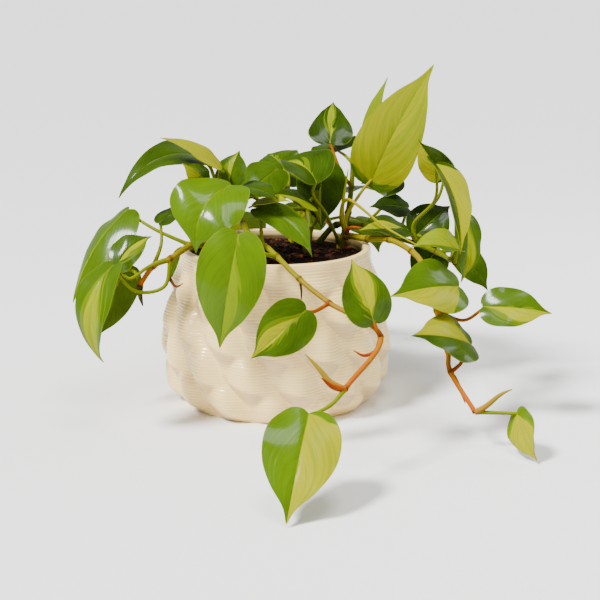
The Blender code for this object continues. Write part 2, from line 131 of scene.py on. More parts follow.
STEMS = {
    "front_stem": Stem(
        points=(
            (-12, -34, 101), (-8, -44, 114), (2, -66, 111), (16, -84, 101), (34, -100, 90), (63, -128, 77),
            (41, -165, 57),
        ),
        start=1.9,
        end=1.5,
        leaves=(
            Leaf(1, ((-9, -38, 126),), (-11, -32, 136), (24, -52, 108), 24, (0.2, -0.6, 0.8), bend=-0.1),
            Leaf(2, ((-9, -74, 116), (-17, -80, 126)), (-21, -84, 129), (-33, -92, 59), 42, (-0.1, -1, 0.15)),
            Leaf(4, ((25, -108, 87),), (20, -112, 89), (-13, -120, 61), 31, (0, -1, 0.2)),
            Leaf(5, ((61, -131, 81),), (59, -130, 86), (46, -118, 121), 28, (0, -1, 0.2)),
            Leaf(6, ((33, -174, 51),), (21, -182, 49), (9, -222, 2), 42, (0, -0.75, 0.66)),
        ),
        spikes=(
            Spike(5, ((60, -133, 70), (53, -136, 68), (47, -136, 71)), 1.4),
            Spike(6, ((33, -164, 61), (26, -162, 69), (19, -160, 76)), 2.0),
            Spike(6, ((34, -169, 60), (28, -172, 66)), 1.8),
            Spike(3, ((17, -84, 94), (17, -83, 88)), 0.8),
        ),
    ),
    "right_stem": Stem(
        points=(
            (44, 18, 101), (48, 13, 109), (62, 2, 109), (76, -5, 110), (90, -20, 105), (97, -34, 97),
            (103, -60, 75), (108, -82, 55), (109, -92, 44), (122, -112, 25),
        ),
        start=2.5,
        end=1.4,
        leaves=(
            Leaf(
                1, ((48, 14, 122), (58, 19, 138)), (65, 21, 145), (104, 0, 226), 46, (-0.15, -1, 0.1),
                bow=0.06, bend=-0.02, taper=0.12,
            ),
            Leaf(
                0, ((40, 8, 112), (33, -3, 128), (25, -10, 141)), (27, -13, 149), (1, 18, 159), 38,
                (0.15, -0.5, 0.85),
                rise=0.55, bend=0.12,
            ),
            Leaf(5, ((107, -48, 86),), (117, -58, 90), (71, -92, 92), 39, (0.1, -0.75, 0.66)),
            Leaf(8, ((116, -88, 49),), (123, -80, 58), (83, -105, 71), 35, (-0.1, -0.65, 0.75)),
            Leaf(6, ((120, -62, 69),), (132, -62, 78), (174, -72, 76), 28, (0, -0.8, 0.6)),
            Leaf(9, ((136, -113, 25),), (147, -114, 26), (156, -135, 3), 24, (-0.9, -0.3, 0.3)),
        ),
        spikes=(
            Spike(9, ((128, -113, 29), (136, -115, 37), (143, -116, 41)), 1.9),
            Spike(1, ((45, 9, 127), (49, 15, 155)), 1.7),
            Spike(1, ((44, 6, 124), (49, 1, 136), (72, -10, 120), (95, -24, 109)), 1.5),
            Spike(1, ((50, 5, 116), (58, 1, 117)), 1.6),
            Spike(8, ((113, -95, 38), (117, -104, 28)), 1.6),
        ),
    ),
    "upright_stem": Stem(
        points=((46, 32, 101), (50, 32, 122), (52, 32, 140), (53, 34, 156)),
        start=2.3,
        end=1.6,
        leaves=(
            Leaf(3, ((57, 36, 158),), (61, 37, 162), (76, 33, 215), 24, (-0.85, -0.5, 0.1), 0.04, taper=0.3),
            Leaf(2, ((44, 34, 152),), (37, 42, 169), (40, 72, 195), 36, (0, -0.8, 0.6), taper=0.4),
            Leaf(3, ((48, 46, 160),), (44, 56, 162), (34, 80, 164), 36, (0, -0.6, 0.8)),
        ),
        spikes=(),
    ),
    "centre_stem": Stem(
        points=((20, 0, 101), (23, 4, 116), (20, 12, 128), (8, 18, 136)),
        start=2.2,
        end=1.6,
        leaves=(
            Leaf(3, ((4, 20, 147),), (1, 14, 155), (-23, -8, 135), 30, (-0.2, -0.85, 0.5)),
            Leaf(3, ((8, 34, 147),), (5, 44, 152), (-7, 62, 159), 32, (0, -0.6, 0.8)),
            Leaf(2, ((30, 26, 142), (32, 32, 152)), (31, 30, 157), (31, 18, 113), 34, (-0.1, -1, 0.2), 0.06),
            Leaf(1, ((28, -2, 124),), (26, -6, 132), (-2, -26, 144), 22, (0.1, -0.4, 0.9)),
            Leaf(3, ((-6, -8, 136), (-18, -24, 144)), (-21, -31, 149), (2, -44, 144), 24, (0.1, -0.35, 0.93)),
            Leaf(2, ((4, -8, 131), (-8, -22, 135)), (-15, -28, 137), (10, -42, 142), 17, (0, -0.25, 0.97)),
        ),
        spikes=(),
    ),
    "left_upper_stem": Stem(
        points=((-30, -8, 101), (-34, -14, 118), (-36, -20, 134), (-38, -20, 148)),
        start=2.1,
        end=1.5,
        leaves=(
            Leaf(
                2, ((-32, -34, 148),), (-27, -46, 153), (-48, -70, 114), 41, (-0.1, -0.8, 0.6),
                bow=0.18, bend=0.12, taper=-0.3,
            ),
            Leaf(2, ((-30, -22, 144),), (-30, -22, 149), (-23, -14, 171), 28, (-0.6, -0.7, 0.3)),
            Leaf(
                3, ((-43, -12, 160),), (-48, -6, 163), (-99, -42, 144), 38, (-0.1, -0.5, 0.85),
                bow=0.25, taper=0.4,
            ),
            Leaf(3, ((-36, -26, 156),), (-34, -29, 161), (-72, -39, 182), 20, (0.3, -0.3, 0.9)),
            Leaf(3, ((-41, -30, 150),), (-44, -36, 152), (-58, -46, 167), 16, (-0.3, -0.7, 0.6)),
        ),
        spikes=(),
    ),
    "left_lower_stem": Stem(
        points=(
            (-40, -24, 101), (-44, -35, 111), (-53, -50, 115), (-65, -61, 109), (-76, -60, 104),
            (-86, -52, 90),
        ),
        start=2.3,
        end=1.6,
        leaves=(
            Leaf(
                2, ((-74, -44, 123), (-87, -37, 129)), (-95, -30, 135), (-130, -48, 77), 40,
                (-0.7, -0.6, 0.4),
                bow=0.1, rise=-0.25, taper=0.3,
            ),
            Leaf(4, ((-72, -50, 116),), (-74, -42, 128), (-48, -26, 137), 20, (0, -0.2, 0.98)),
            Leaf(
                3, ((-78, -66, 105), (-90, -70, 98)), (-98, -66, 105), (-77, -56, 122), 23, (0, -0.6, 0.8),
                bend=-0.1,
            ),
            Leaf(
                3, ((-69, -66, 92), (-86, -74, 91)), (-98, -80, 109), (-105, -88, 49), 29,
                (-0.6, -0.75, 0.1),
                bow=0.24,
            ),
            Leaf(5, ((-90, -44, 96),), (-96, -39, 99), (-118, -49, 50), 33, (-0.2, 0.9, 0.4)),
        ),
        spikes=(
            Spike(3, ((-66, -62, 98), (-62, -65, 92), (-57, -66, 94)), 1.3),
            Spike(5, ((-86, -54, 84), (-84, -57, 77)), 2.2),
        ),
    ),
    "right_back_stem": Stem(
        points=(
            (30, 34, 101), (42, 38, 112), (60, 32, 112), (80, 22, 107), (96, 10, 104), (108, -8, 102),
            (115, -28, 101), (116, -42, 102),
        ),
        start=2.2,
        end=1.5,
        leaves=(
            Leaf(
                4, ((94, 10, 118), (107, 1, 136)), (105, -14, 162), (116, -64, 112), 36, (0.62, -0.6, 0.38),
                bow=0.1, rise=0.4, taper=0.35,
            ),
            Leaf(
                4, ((95, 12, 118), (109, 4, 136)), (114, 2, 152), (94, -4, 177), 22, (-0.15, -0.95, -0.34),
                rise=0.4,
            ),
            Leaf(7, (), (118, -46, 111), (87, -50, 114), 28, (0, -0.27, 0.96), rise=0.5),
            Leaf(6, ((121, -22, 114),), (125, -18, 129), (121, -38, 88), 27, (0.6, -0.8, 0.1)),
            Leaf(5, ((118, -4, 102),), (123, -1, 103), (143, -12, 76), 21, (0.2, -0.9, 0.3)),
            Leaf(2, ((74, 56, 120),), (90, 55, 141), (60, 60, 138), 32, (0, -0.6, 0.8)),
            Leaf(3, ((88, 36, 112),), (93, 42, 123), (65, 36, 125), 24, (0, -0.5, 0.87)),
            Leaf(4, ((93, 14, 109),), (90, 14, 113), (55, -6, 116), 26, (0, -0.45, 0.9)),
            Leaf(4, ((100, 18, 107),), (97, 22, 107), (121, 30, 127), 32, (0, -0.8, 0.6)),
            Leaf(5, ((112, 14, 100),), (113, 26, 97), (94, 20, 75), 28, (0, -1, 0.3)),
        ),
        spikes=(),
    ),
    "back_left_stem": Stem(
        points=(
            (-18, 28, 101), (-24, 42, 112), (-32, 62, 116), (-42, 84, 106), (-48, 97, 86), (-52, 104, 62),
        ),
        start=2.2,
        end=1.4,
        leaves=(
            Leaf(1, ((-28, 44, 124),), (-34, 42, 130), (-59, 28, 137), 34, (-0.2, 0, 1), 0.1),
            Leaf(2, ((-26, 66, 128),), (-22, 70, 134), (-8, 104, 124), 38, (0, 0.5, 0.85), 0.12),
            Leaf(2, ((-44, 70, 122),), (-50, 76, 124), (-64, 112, 106), 36, (-0.5, 0.4, 0.7), 0.12),
            Leaf(3, ((-36, 94, 110),), (-32, 104, 108), (-24, 132, 66), 38, (0.1, 1, 0.4), 0.1),
            Leaf(4, ((-56, 100, 84),), (-62, 104, 82), (-78, 120, 40), 34, (-0.4, 0.9, 0.3), 0.1),
            Leaf(5, ((-50, 110, 54),), (-48, 114, 50), (-40, 128, 6), 28, (0.1, 1, 0.3), 0.06),
        ),
        spikes=(Spike(5, ((-54, 106, 54), (-58, 108, 42)), 1.5),),
    ),
    "back_right_stem": Stem(
        points=((10, 40, 101), (16, 50, 114), (24, 66, 117), (36, 90, 106), (46, 104, 84)),
        start=2.2,
        end=1.4,
        leaves=(
            Leaf(1, ((15, 56, 128),), (15, 60, 136), (16, 92, 146), 32, (0, 0.1, 0.95), 0.1),
            Leaf(2, ((36, 66, 126),), (46, 70, 130), (80, 88, 124), 38, (0.3, 0.3, 0.9), 0.14),
            Leaf(3, ((28, 98, 114),), (22, 106, 114), (14, 134, 74), 38, (0, 1, 0.4), 0.1),
            Leaf(3, ((50, 94, 108),), (58, 100, 106), (78, 122, 74), 36, (0.4, 0.7, 0.6), 0.12),
            Leaf(4, ((52, 112, 78),), (54, 118, 72), (58, 134, 26), 32, (0.1, 1, 0.3), 0.08),
        ),
        spikes=(Spike(4, ((48, 108, 76), (50, 110, 66)), 1.5),),
    ),
}

# A leaf's colouring: how far the lime reaches from the midrib over its left and its right half, seen with
# the tip up, how light its green is, partly its own tone and partly painted shade, darker for leaves that
# sit in shade, how yellow its lime is (below 0 it fades into the green), how black its specks are, and the
# tint of its petiole. Each stem has one for each of its leaves, in the same order.
Look = namedtuple("Look", "minus plus green yellow specks stalk", defaults=(0.4, 0.4, 0, "leaf stalk"))

LOOKS = {
    "front_stem": (
        Look(0, 0, 0.62),
        Look(0.38, 0, 0.8, -0.55),
        Look(0.15, 0.5, 0.38, 0.9, 0, "red stalk"),
        Look(0.3, 0.6, 0.32, 1, 0, "red stalk"),
        Look(3, 0, 0.78, 1.2),
    ),
    "right_stem": (
        Look(3, 3, 0.6, 0.6, 0, "yellow stalk"),
        Look(0, 0.16, 0.2, 0.1),
        Look(1.4, 0, 0.6, 0.9),
        Look(0, 1.4, 0.3, 1, 0, "red stalk"),
        Look(0.1, 0.7, 0.5, 0.9, 0, "red stalk"),
        Look(0.9, 1.2, 0.8, 1),
    ),
    "upright_stem": (
        Look(3, 3, 0.5, -0.2),
        Look(0.3, 0.22, 0.12, 0.2, 0, "red stalk"),
        Look(0, 0, 0.25),
    ),
    "centre_stem": (
        Look(0, 0, 0.42),
        Look(0, 0.12, 0.3, 0.2),
        Look(0, 0.2, 0.2, 0),
        Look(2.5, 0, 0.2, 0.1, 1),
        Look(0, 0, 0.2),
        Look(3, 3, 0.7, 0.6),
    ),
    "left_upper_stem": (
        Look(0, 0, 0.78),
        Look(0.3, 0, 0.3, 0.3),
        Look(0, 0, 0.25),
        Look(3, 3, 0.6, 1.1),
        Look(1.5, 0.3, 0.5, 0.7),
    ),
    "left_lower_stem": (
        Look(0.1, 0.1, 0.55, 0.1),
        Look(0, 0, 0.15),
        Look(0, 0.45, 0.3, 0.6),
        Look(0.5, 0.4, 0.5, 0.3),
        Look(0, 0.1, 0.05),
    ),
    "right_back_stem": (
        Look(3, 0, 0.25, 1.1),
        Look(3, 0, 0.25, 1),
        Look(0, 2.5, 0.5, 0.1),
        Look(0.6, 0, 0.6, 0.5),
        Look(0, 0, 0.3),
        Look(0, 0, 0.06),
        Look(0, 0, 0.06),
        Look(0.3, 0.35, 0.15, 0.6),
        Look(0, 0, 0.06),
        Look(0, 0, 0.06),
    ),
    "back_left_stem": (
        Look(0, 0, 0.2),
        Look(0.4, 0.3, 0.4),
        Look(0.1, 0.7, 0.5, 0.5),
        Look(0.5, 0.3, 0.5, 0.6),
        Look(0, 0.5, 0.6, 0.4),
        Look(3, 0.6, 0.6, 0.8),
    ),
    "back_right_stem": (
        Look(0.2, 0.3, 0.3),
        Look(0.1, 0.5, 0.35),
        Look(0.7, 0.3, 0.5, 0.5),
        Look(0, 0, 0.5),
        Look(0.4, 2, 0.6, 0.9),
    ),
}

# The colours of stems, petioles and spikes, from where they start to where they end, in linear light
TINTS = {
    "leaf stalk": ((0.15, 0.19, 0.0), (0.19, 0.23, 0.0)),
    "red stalk": ((0.28, 0.04, 0.0), (0.27, 0.09, 0.0)),
    "yellow stalk": ((0.32, 0.22, 0.0), (0.30, 0.28, 0.0)),
    "lime stem": ((0.19, 0.20, 0.0), (0.42, 0.085, 0.0)),
    "orange stem": ((0.25, 0.22, 0.0), (0.42, 0.085, 0.0)),
    "green stem": ((0.08, 0.11, 0.001), (0.15, 0.19, 0.001)),
    "brown sheath": ((0.07, 0.018, 0.004), (0.14, 0.045, 0.006)),
    "red sheath": ((0.36, 0.055, 0.003), (0.26, 0.03, 0.003)),
    "orange sheath": ((0.50, 0.10, 0.001), (0.46, 0.07, 0.001)),
    "growing tip": ((0.34, 0.15, 0.01), (0.26, 0.22, 0.01)),
    "yellow strap": ((0.36, 0.30, 0.001), (0.34, 0.31, 0.001)),
    "lime spike": ((0.24, 0.28, 0.002), (0.32, 0.36, 0.01)),
    "air root": ((0.07, 0.025, 0.008), (0.04, 0.015, 0.008)),
    "dry leaf": ((0.04, 0.035, 0.003), (0.02, 0.02, 0.003)),
}
STEM_TINTS = {
    "front_stem": "lime stem",
    "right_stem": "orange stem",
    "upright_stem": "green stem",
    "centre_stem": "green stem",
    "left_upper_stem": "green stem",
    "left_lower_stem": "lime stem",
    "right_back_stem": "green stem",
    "back_left_stem": "lime stem",
    "back_right_stem": "orange stem",
}
SPIKE_TINTS = {
    "front_stem": ("red sheath", "growing tip", "red sheath", "air root"),
    "right_stem": ("growing tip", "lime spike", "yellow strap", "orange sheath", "red sheath"),
    "left_lower_stem": ("brown sheath", "dry leaf"),
    "back_left_stem": ("growing tip",),
    "back_right_stem": ("growing tip",),
}
NODE_SCAR = (0.06, 0.016, 0.004)
STEM_MOTTLE = (0.26, 0.26, 0.0)
LEAF_UNDERSIDE = (0.10, 0.16, 0.01)
LEAF_SPECK = (0.02, 0.02, 0.008)
# Painted shade under the pot's pillows
UNDERSIDE_PAINTED_SHADE = (0.50, 0.33, 0.15)
CLAY_CLOUD = (0.95, 0.64, 0.25)
CLAY_GRAIN = (0.62, 0.40, 0.16)
# Painted shade on the pot's inner wall above the mix
INNER_WALL_PAINTED_SHADE = (0.03, 0.015, 0.010)
MIX_CRUMB = (0.022, 0.009, 0.005)
BARK_DARK = (0.012, 0.005, 0.003)
BARK_GRAIN = (0.03, 0.009, 0.004)
FLOOR_CLOUD = (0.90, 0.90, 0.89)

# How much a stem swells at a node, as a share of its radius; then, in millimetres, how far along it swells
# and is scarred, the radii of a petiole and a midrib, and the depth of the groove over the midrib
NODE_SWELL = 0.30
NODE_LENGTH = 1.7
SCAR_LENGTH = 1.0
PETIOLE_RADIUS = 1.15
MIDRIB_RADIUS = 0.62
MIDRIB_GROOVE = 0.30

# Where a petiole grips the blade, as a share of its length, and the rings of the midrib beyond
GRIP = 0.03
MIDRIB_RINGS = 14
MIDRIB_STEP = 0.062

# How the flat leaf's columns crowd towards the midrib, and its rows towards the petiole
COLUMN_CROWD = 1.4
ROW_CROWD = 1.2

# The stage: the camera, which looks down a little, and the lights
CAMERA_PLACE = (0.0162, -0.800, 0.268)
CAMERA_DOWN = math.radians(14.12)
CAMERA_LENS = 72.18
WINDOW_WAY = (0.78, 0.56, -1.15)
WINDOW_WIDTH = math.radians(12)
OVERHEAD_PLACE = (0.12, -0.40, 1.10)
SIDE_PLACE = (0.80, 0.29, 0.61)
PLANT_MIDDLE = (0, 0, 0.08)


def setting(kind, name, description, default, low, high, **more):
    return kind(name=name, description=description, default=default, min=low, max=high, **more)


def colour_setting(name, description, default):
    return setting(FloatVectorProperty, name, description, default, 0, 1, subtype="COLOR")


def length_setting(name, description, default, low, high):
    return setting(FloatProperty, name, description, default, low, high, unit="LENGTH")


class PotSettings(bpy.types.PropertyGroup):
    clay: colour_setting("Clay", "Colour of the stoneware", (0.96, 0.70, 0.27))
    # The groove colour is painted shade between the ribs
    groove: colour_setting("Groove", "Colour between the ribs", (0.70, 0.45, 0.16))
    rib_pitch: length_setting("Rib Pitch", "Height of one level rib", 0.0020, 0.001, 0.01)
    rib_depth: length_setting("Rib Depth", "How deep the grooves between the ribs are", 0.00026, 0, 0.001)
    sides: setting(IntProperty, "Sides", "Steps of the turned wall", 240, 48, 400)
    mix: colour_setting("Potting Mix", "Colour of the damp potting mix", (0.006, 0.003, 0.002))
    bark: colour_setting("Bark", "Colour of the lightest bark chips", (0.20, 0.048, 0.016))
    chips: setting(IntProperty, "Bark Chips", "Number of bark chips on the potting mix", 300, 1, 1000)


class PlantSettings(bpy.types.PropertyGroup):
    # The darkest green is partly painted shade, given to leaves that sit in shade
    dark: colour_setting("Dark Green", "Colour of the darkest leaves", (0.009, 0.024, 0.0002))
    middle: colour_setting("Middle Green", "Colour of the lightest green leaves", (0.082, 0.160, 0.0001))
    lime: colour_setting("Lime", "Colour of the variegated parts", (0.165, 0.22, 0.0))
    yellow: colour_setting("Yellow", "Colour of the palest variegated parts", (0.27, 0.265, 0.0))
    vein: colour_setting("Vein", "Colour of the midrib and the side veins", (0.18, 0.22, 0.001))
    blade: length_setting("Blade", "Thickness of a leaf blade", 0.0005, 0.0002, 0.001)
    relief: length_setting("Vein Relief", "Height of the swelling between two side veins", 0.00030, 0, 0.001)


class StageSettings(bpy.types.PropertyGroup):
    floor: colour_setting("Floor", "Colour of the floor", (0.94, 0.94, 0.93))
    sky: setting(FloatProperty, "Sky", "Strength of the even light all round", 0.52, 0, 5)
    window: setting(FloatProperty, "Window", "Strength of the soft light from the upper left", 7.4, 0, 50)
    overhead: setting(
        FloatProperty, "Overhead", "Power of the soft light above the plant", 6.5, 0, 100, unit="POWER"
    )


class Value:
    """A shader socket that Python arithmetic works on."""

    def __init__(self, finish, socket):
        self.finish = finish
        self.socket = socket

    def math(self, operation, *others):
        return self.finish.node("ShaderNodeMath", {"operation": operation}, dict(enumerate((self, *others))))

    def __add__(self, other):
        return self.math("ADD", other)

    def __sub__(self, other):
        return self.math("SUBTRACT", other)

    def __rsub__(self, other):
        return (self * -1) + other

    def __mul__(self, other):
        return self.math("MULTIPLY", other)

    def __pow__(self, other):
        return self.math("POWER", other)

    __radd__ = __add__
    __rmul__ = __mul__

    def size(self):
        return self.math("ABSOLUTE")

    def above(self, other):
        return self.math("GREATER_THAN", other)

    def cosine(self):
        return self.math("COSINE")

    def clamped(self):
        return self.math("MAXIMUM", 0).math("MINIMUM", 1)

    def step(self, low, high):
        """Rises smoothly from 0 at low to 1 at high."""
        ends = {0: self, 1: low, 2: high}
        return self.finish.node("ShaderNodeMapRange", {"interpolation_type": "SMOOTHSTEP"}, ends)


class Finish:
    """A material, whose nodes come from one method."""

    def __init__(self, name):
        self.material = bpy.data.materials.new(name)
        self.material.use_nodes = True
        self.tree = self.material.node_tree
        self.shader = self.tree.nodes["Principled BSDF"]

    def plug(self, socket, value):
        if isinstance(value, Value):
            self.tree.links.new(value.socket, socket)
        else:
            socket.default_value = value

    def node(self, kind, settings, sockets, output=0):
        made = self.tree.nodes.new(kind)
        for name, setting in settings.items():
            setattr(made, name, setting)
        for name, value in sockets.items():
            self.plug(made.inputs[name], value)
        return Value(self, made.outputs[output])

    def surface(self, **sockets):
        """Plugs the shader's own sockets, named with underscores for spaces."""
        for name, value in sockets.items():
            self.plug(self.shader.inputs[name.replace("_", " ")], value)

    def attribute(self, name, output="Fac"):
        return self.node("ShaderNodeAttribute", {"attribute_name": name}, {}, output)

    def blend(self, share, start, end):
        """A colour a share of the way from one to another, of which each is a value or three numbers."""
        start, end = (colour if isinstance(colour, Value) else (*colour, 1) for colour in (start, end))
        return self.node("ShaderNodeMix", {"data_type": "RGBA"}, {0: share, 6: start, 7: end}, 2)

    def vector(self, x, y, z):
        return self.node("ShaderNodeCombineXYZ", {}, {0: x, 1: y, 2: z})

    def parts(self, vector):
        parts = self.node("ShaderNodeSeparateXYZ", {}, {0: vector})
        return [Value(self, socket) for socket in parts.socket.node.outputs]

    def noise(self, vector, scale, detail=2.0):
        return self.node("ShaderNodeTexNoise", {}, {"Vector": vector, "Scale": scale, "Detail": detail})

    def place(self):
        return self.node("ShaderNodeTexCoord", {}, {}, "Object")

    def relief(self, height, distance):
        """Turns a height from 0 to 1 into a bump of that distance."""
        return self.node("ShaderNodeBump", {}, {"Height": height, "Distance": distance})


def leaf_finish(plant):
    """Waxy leaf: green, with wedges of lime that fan out from the petiole to the tip."""
    leaf = Finish("waxy_leaf")
    u, v, _ = leaf.parts(leaf.node("ShaderNodeUVMap", {"uv_map": "blade"}, {}))
    across = (u - 0.5) * 2
    side = across.above(0)
    reach = across.size()
    rim = leaf.attribute("rim")
    under = leaf.attribute("under")
    own = leaf.attribute("seed") * 37 + side * 5
    minus = leaf.attribute("minus")
    share = minus + (leaf.attribute("plus") - minus) * side

    # Noise that is drawn out along the veins, from broad to fine
    vein = v - reach**1.2 * 0.5
    flow = v - rim**1.3 * 0.85
    drift = leaf.noise(leaf.vector(flow * 2.6, reach * 1.5, own), 1)
    bands = leaf.noise(leaf.vector(flow * 7, reach * 0.9, own + 3), 1)
    streaks = leaf.noise(leaf.vector(flow * 32, reach * 2.2, own), 1)
    cloud = leaf.noise(leaf.vector(v * 3, across * 1.6, own), 1, 3)

    # The wedge widens towards the tip, and a half-limed border runs along it
    wedge = share * (v * 1.9 + 0.2) - 0.11
    edge = wedge + (drift - 0.5) * share.step(0, 0.3) * 0.7 + (streaks - 0.5) * 0.1
    half_edge = wedge + (bands - 0.42) * share.step(0, 0.2) * 1.5 + (streaks - 0.5) * 0.16
    limed = (edge - rim).step(-0.015, 0.02)
    half_limed = (half_edge - rim).step(-0.01, 0.02)

    # The green's lightness is partly each leaf's own tone and partly painted shade
    green_share = leaf.attribute("green") + (cloud - 0.5) * 0.5 + (streaks - 0.5) * 0.35
    green = leaf.blend(green_share.clamped(), plant.dark, plant.middle)
    green = leaf.blend(half_limed * 0.42, green, plant.lime)
    yellow_share = leaf.attribute("yellow") + (drift - 0.5) * 1.6 + (streaks - 0.5) * 2
    lime = leaf.blend(yellow_share.clamped(), plant.lime, plant.yellow)
    lime = leaf.blend((bands - streaks * 0.3).step(0.34, 0.46) * 0.22, lime, plant.middle)
    colour = leaf.blend(limed * (leaf.attribute("yellow") + 1).clamped(), green, lime)

    # Side veins, the midrib, the pale margin, specks and the underside
    beat = (vein * (math.tau * 9)).cosine()
    midrib = (0.035 - reach - v * 0.03).step(0, 0.012)
    veins = (beat.step(0.9, 1) * (1 - rim) * 0.06 + midrib * 0.5).clamped()
    colour = leaf.blend(veins, colour, plant.vein)
    colour = leaf.blend(rim.step(0.965, 0.99) * 0.4, colour, plant.vein)
    speck = leaf.noise(leaf.vector(v * 18, across * 14, own), 1, 1).step(0.70, 0.73)
    colour = leaf.blend(speck * leaf.attribute("specks") * 0.9, colour, LEAF_SPECK)
    colour = leaf.blend(under * 0.35, colour, LEAF_UNDERSIDE)

    height = beat * -0.12 * (1 - rim) + cloud * 0.5 + bands * 1.1 + streaks * 0.45
    leaf.surface(
        Base_Color=colour,
        Roughness=cloud * 0.16 + 0.24 + under * 0.25,
        Specular_IOR_Level=0.03,
        Coat_Weight=(1 - under) * (1 - limed * 0.8) * streaks * 0.4,
        Coat_Roughness=0.13,
        Normal=leaf.relief(height, plant.relief),
    )
    return leaf.material


def stalk_finish():
    """Smooth stem skin, a little mottled along its tint, which carries painted shade on its underside."""
    stalk = Finish("stem_skin")
    place = stalk.place()
    mottle = stalk.noise(place, 420, 3)
    spots = stalk.noise(place, 1600)
    tint = stalk.attribute("tint", "Color")
    colour = stalk.blend(mottle.step(0.55, 0.75) * 0.35, tint, STEM_MOTTLE)
    colour = stalk.blend(spots.step(0.62, 0.72) * 0.35, colour, NODE_SCAR)
    stalk.surface(
        Base_Color=colour,
        Roughness=mottle * 0.2 + 0.3,
        Specular_IOR_Level=0.04,
        Normal=stalk.relief(mottle * 0.6 + spots * 0.4, 0.00012),
    )
    return stalk.material


def clay_finish(pot):
    """Cream stoneware with painted shade in its grooves and under its pillows, grained, clouded, and with
    painted shade on its inner wall.
    """
    clay = Finish("cream_stoneware")
    place = clay.place()
    _, _, z = clay.parts(place)
    # Painted shade: the grooves between the ribs are darkened towards the groove colour
    groove = (z * (math.tau / pot.rib_pitch)).cosine().step(0.35, 1)
    # Painted shade: the inner wall is darkened from below up to a little under the rim
    inner_wall_shade = clay.attribute("inside") * (POT_HEIGHT - INNER_SHADE_BELOW_RIM - z).step(0, 0.003)
    cloud = clay.noise(place, 30, 3)
    grain = clay.noise(place, 1500)
    colour = clay.blend(groove * 0.42, pot.clay, pot.groove)
    # Painted shade: the downward-facing undersides of the pillows are darkened
    overhang_shade = clay.attribute("overhang_shade").step(0, 0.35)
    colour = clay.blend(overhang_shade * 0.7, colour, UNDERSIDE_PAINTED_SHADE)
    colour = clay.blend(cloud.step(0.45, 0.75) * 0.3, colour, CLAY_CLOUD)
    colour = clay.blend(grain.step(0.66, 0.74) * 0.4, colour, CLAY_GRAIN)
    colour = clay.blend(inner_wall_shade * (cloud * 0.4 + 0.65).clamped(), colour, INNER_WALL_PAINTED_SHADE)
    clay.surface(
        Base_Color=colour,
        Roughness=grain * 0.15 + 0.30,
        Coat_Weight=cloud * 0.9,
        Coat_Roughness=0.12,
        Normal=clay.relief(grain, 0.00008),
    )
    return clay.material


def mix_finish(pot):
    """Damp crumbs of potting mix."""
    mix = Finish("damp_potting_mix")
    place = mix.place()
    crumbs = mix.noise(place, 700, 5)
    lumps = mix.noise(place, 160, 3)
    colour = mix.blend(crumbs.step(0.5, 0.7), pot.mix, MIX_CRUMB)
    mix.surface(
        Base_Color=colour,
        Roughness=lumps * 0.3 + 0.6,
        Specular_IOR_Level=0.05,
        Normal=mix.relief(crumbs * 0.7 + lumps * 0.3, 0.0012),
    )
    return mix.material


def bark_finish(pot):
    """Bark chips from nearly black to a red brown, with grain along each chip."""
    bark = Finish("bark_chip")
    place = bark.place()
    grain = bark.noise(place, 900, 4)
    colour = bark.blend(bark.attribute("shade"), BARK_DARK, pot.bark)
    colour = bark.blend(grain.step(0.45, 0.65) * 0.5, colour, BARK_GRAIN)
    bark.surface(
        Base_Color=colour,
        Roughness=grain * 0.3 + 0.5,
        Specular_IOR_Level=0.1,
        Normal=bark.relief(grain, 0.0005),
    )
    return bark.material


def clear_selection():
    bpy.ops.object.select_all(action="DESELECT")


def pick(*pieces):
    """Selects the pieces and nothing else, and makes the first one active."""
    clear_selection()
    for piece in pieces:
        piece.select_set(True)
    bpy.context.view_layer.objects.active = pieces[0]


@contextmanager
def editing():
    """Edit mode with everything selected."""
    bpy.ops.object.mode_set(mode="EDIT")
    bpy.ops.mesh.select_all(action="SELECT")
    yield
    bpy.ops.object.mode_set(mode="OBJECT")


def copied(piece):
    copy = piece.copy()
    copy.data = piece.data.copy()
    bpy.context.collection.objects.link(copy)
    return copy


def mark(piece, name, values):
    """Gives each corner of a piece a number for its finish."""
    piece.data.attributes.new(name, "FLOAT", "POINT").data.foreach_set("value", values)


def close_up(piece):
    """Merges doubled corners and points all faces outwards."""
    pick(piece)
    with editing():
        bpy.ops.mesh.remove_doubles(threshold=1e-6)
        bpy.ops.mesh.normals_make_consistent(inside=False)


def join(name, pieces):
    pick(*pieces)
    bpy.ops.object.join()
    joined = bpy.context.object
    joined.name = name
    joined.data.name = name
    return joined


def dress(piece, material, node, angle=40):
    """Gives a finished piece its material slot, smooth shading and body, and hides the CAD part of its node.
    """
    pick(piece)
    bpy.ops.object.shade_smooth_by_angle(angle=math.radians(angle))
    piece.data.materials.clear()
    piece.data.materials.append(material)
    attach(piece, "root")
    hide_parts(node)


def smooth_curve(points, at):
    """The place a share `at` of the way along a smooth curve through the points."""
    spans = len(points) - 1
    i = min(int(at * spans), spans - 1)
    t = at * spans - i
    a, b = Vector(points[i]), Vector(points[i + 1])
    before = Vector(points[i - 1]) if i else a * 2 - b
    after = Vector(points[i + 2]) if i + 2 <= spans else b * 2 - a
    squared = 2 * before - 5 * a + 4 * b - after
    cubed = 3 * a - before - 3 * b + after
    return 0.5 * (2 * a + (b - before) * t + squared * t * t + cubed * t**3)


def turned(name, profile, sides):
    """A closed solid turned from a profile that starts and ends on the axis."""
    clear_selection()
    bpy.ops.mesh.primitive_plane_add(size=0.01)
    piece = bpy.context.object
    piece.name = name
    with editing():
        bpy.ops.mesh.merge(type="CENTER")
        bpy.ops.transform.translate(value=(profile[0][0], 0, profile[0][1]))
        for (r0, z0), (r1, z1) in zip(profile, profile[1:]):
            bpy.ops.mesh.extrude_region_move(TRANSFORM_OT_translate={"value": (r1 - r0, 0, z1 - z0)})
        bpy.ops.mesh.select_all(action="SELECT")
        bpy.ops.mesh.spin(steps=sides, angle=math.tau, center=(0, 0, 0), axis=(0, 0, 1))
    close_up(piece)
    return piece


